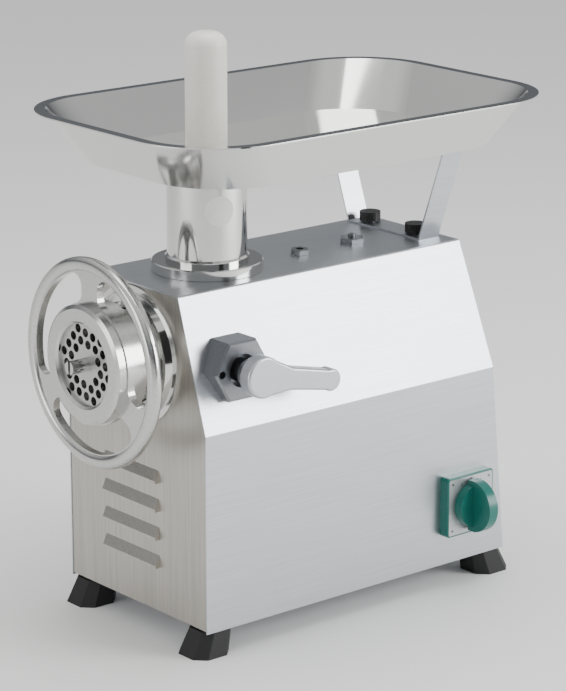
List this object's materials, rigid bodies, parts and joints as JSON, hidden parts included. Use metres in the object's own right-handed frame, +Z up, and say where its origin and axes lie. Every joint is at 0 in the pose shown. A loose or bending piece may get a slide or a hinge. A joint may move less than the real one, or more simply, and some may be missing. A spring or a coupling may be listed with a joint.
{
  "type": "electric meat grinder",
  "caption": "Electric meat grinder: steel cabinet with gear drive, side rotary switch, front auger head with spoked ring nut, and a removable feed tray and plunger.",
  "frame": {"origin": "under the middle of the machine, on the surface its feet stand on", "axes": "+Z up, the grinding head points to -Y, the switch is on the +X side"},
  "size_m": [0.327, 0.5326, 0.61],
  "materials": {
    "brushed_stainless": "brushed",
    "polished_stainless": "polished",
    "plate_steel": "ground",
    "machined_steel": "machined",
    "cast_aluminium": "satin",
    "copper_windings": "lacquered",
    "white_plastic": "satin",
    "teal_plastic": "semi-gloss",
    "silver_label_plate": "satin",
    "black_plastic": "satin",
    "black_rubber": "matt"
  },
  "bodies": {
    "cabinet": {"housing_shell": "brushed_stainless", "front_panel": "brushed_stainless", "rear_panel": "brushed_stainless", "base_plate": "brushed_stainless", "panel_screws": "machined_steel", "foot_front_left": "black_rubber", "foot_front_right": "black_rubber", "foot_rear_left": "black_rubber", "foot_rear_right": "black_rubber", "foot_screws": "machined_steel", "head_seat": "cast_aluminium", "seat_ring": "polished_stainless", "clamp_boss": "machined_steel", "gearbox_case": "cast_aluminium", "gearbox_cover": "cast_aluminium", "bearing_bridge": "machined_steel", "spindle_bearing_front": "machined_steel", "spindle_bearing_rear": "machined_steel", "spindle_seal": "black_rubber", "motor_shell": "machined_steel", "stator_core": "machined_steel", "stator_windings": "copper_windings", "motor_bell_front": "cast_aluminium", "motor_bell_rear": "cast_aluminium", "small_bearings": "machined_steel", "fan_cowl": "machined_steel", "case_bolts": "machined_steel", "barrel": "polished_stainless", "plate_key": "plate_steel", "tray_bracket": "brushed_stainless", "bracket_washer_left": "brushed_stainless", "bracket_washer_right": "brushed_stainless", "filler_plug": "machined_steel", "breather_plug": "machined_steel", "switch_housing": "teal_plastic", "switch_plate": "silver_label_plate", "switch_body": "black_plastic", "run_capacitor": "black_plastic", "cable_gland": "black_plastic"},
    "motor_rotor": {"motor_shaft": "machined_steel", "rotor_core": "machined_steel", "motor_fan": "black_plastic", "motor_pinion": "machined_steel"},
    "middle_gears": {"middle_shaft": "machined_steel", "middle_gear": "machined_steel"},
    "auger_drive": {"drive_spindle": "machined_steel", "output_gear": "machined_steel", "auger": "polished_stainless", "knife": "polished_stainless"},
    "plate": {"cutting_plate": "plate_steel"},
    "handwheel": {"ring_nut": "polished_stainless"},
    "clamp_pad": {"clamp_pad": "machined_steel"},
    "clamp_lever": {"clamp_lever": "cast_aluminium", "clamp_screw": "machined_steel"},
    "knob_left": {"bracket_knob_left": "black_plastic"},
    "knob_right": {"bracket_knob_right": "black_plastic"},
    "switch_knob": {"switch_knob": "teal_plastic"},
    "neck": {"feed_neck": "polished_stainless"},
    "tray": {"tray": "polished_stainless"},
    "plunger": {"plunger": "white_plastic"}
  },
  "joints": [
    {"name": "motor_spin", "type": "hinge", "parent": "cabinet", "child": "motor_rotor", "pos_m": [0, 0, 0.131], "axis": [0, 1, 0], "continuous": true},
    {"name": "middle_spin", "type": "hinge", "parent": "cabinet", "child": "middle_gears", "pos_m": [0, 0, 0.218], "axis": [0, 1, 0], "continuous": true},
    {"name": "auger_spin", "type": "hinge", "parent": "cabinet", "child": "auger_drive", "pos_m": [0, 0, 0.293], "axis": [0, 1, 0], "continuous": true},
    {"name": "plate_travel", "type": "slide", "parent": "cabinet", "child": "plate", "axis": [0, -1, 0], "range_m": [0, 0.0361]},
    {"name": "handwheel_turn", "type": "hinge", "parent": "plate", "child": "handwheel", "pos_m": [0, -0.23575, 0.293], "axis": [0, -1, 0], "range_deg": [0, 3240]},
    {"name": "clamp_travel", "type": "slide", "parent": "cabinet", "child": "clamp_pad", "axis": [1, 0, 0], "range_m": [0, 0.00167]},
    {"name": "lever_turn", "type": "hinge", "parent": "clamp_pad", "child": "clamp_lever", "pos_m": [0.14, -0.13875, 0.293], "axis": [1, 0, 0], "range_deg": [0, 300]},
    {"name": "knob_left_turn", "type": "hinge", "parent": "cabinet", "child": "knob_left", "pos_m": [-0.0435, 0.16725, 0.376], "axis": [0, 0, 1], "range_deg": [0, 720]},
    {"name": "knob_right_turn", "type": "hinge", "parent": "cabinet", "child": "knob_right", "pos_m": [0.0295, 0.16725, 0.376], "axis": [0, 0, 1], "range_deg": [0, 720]},
    {"name": "switch_turn", "type": "hinge", "parent": "cabinet", "child": "switch_knob", "pos_m": [0.14, 0.16255, 0.0922], "axis": [1, 0, 0], "range_deg": [-30, 30]},
    {"name": "neck_lift", "type": "slide", "parent": "cabinet", "child": "neck", "axis": [0, 0, 1], "range_m": [0, 0.12]},
    {"name": "tray_lift", "type": "slide", "parent": "neck", "child": "tray", "axis": [0, 0, 1], "range_m": [0, 0.15]},
    {"name": "plunger_lift", "type": "slide", "parent": "neck", "child": "plunger", "axis": [0, 0, 1], "range_m": [0, 0.3]}
  ],
  "couplings": [
    {"joint": "middle_spin", "follows": "motor_spin", "ratio": -0.33846},
    {"joint": "auger_spin", "follows": "motor_spin", "ratio": 0.10301},
    {"joint": "plate_travel", "follows": "handwheel_turn", "m_per_rad": 0.00063662},
    {"joint": "clamp_travel", "follows": "lever_turn", "m_per_rad": 0.00031831}
  ]
}
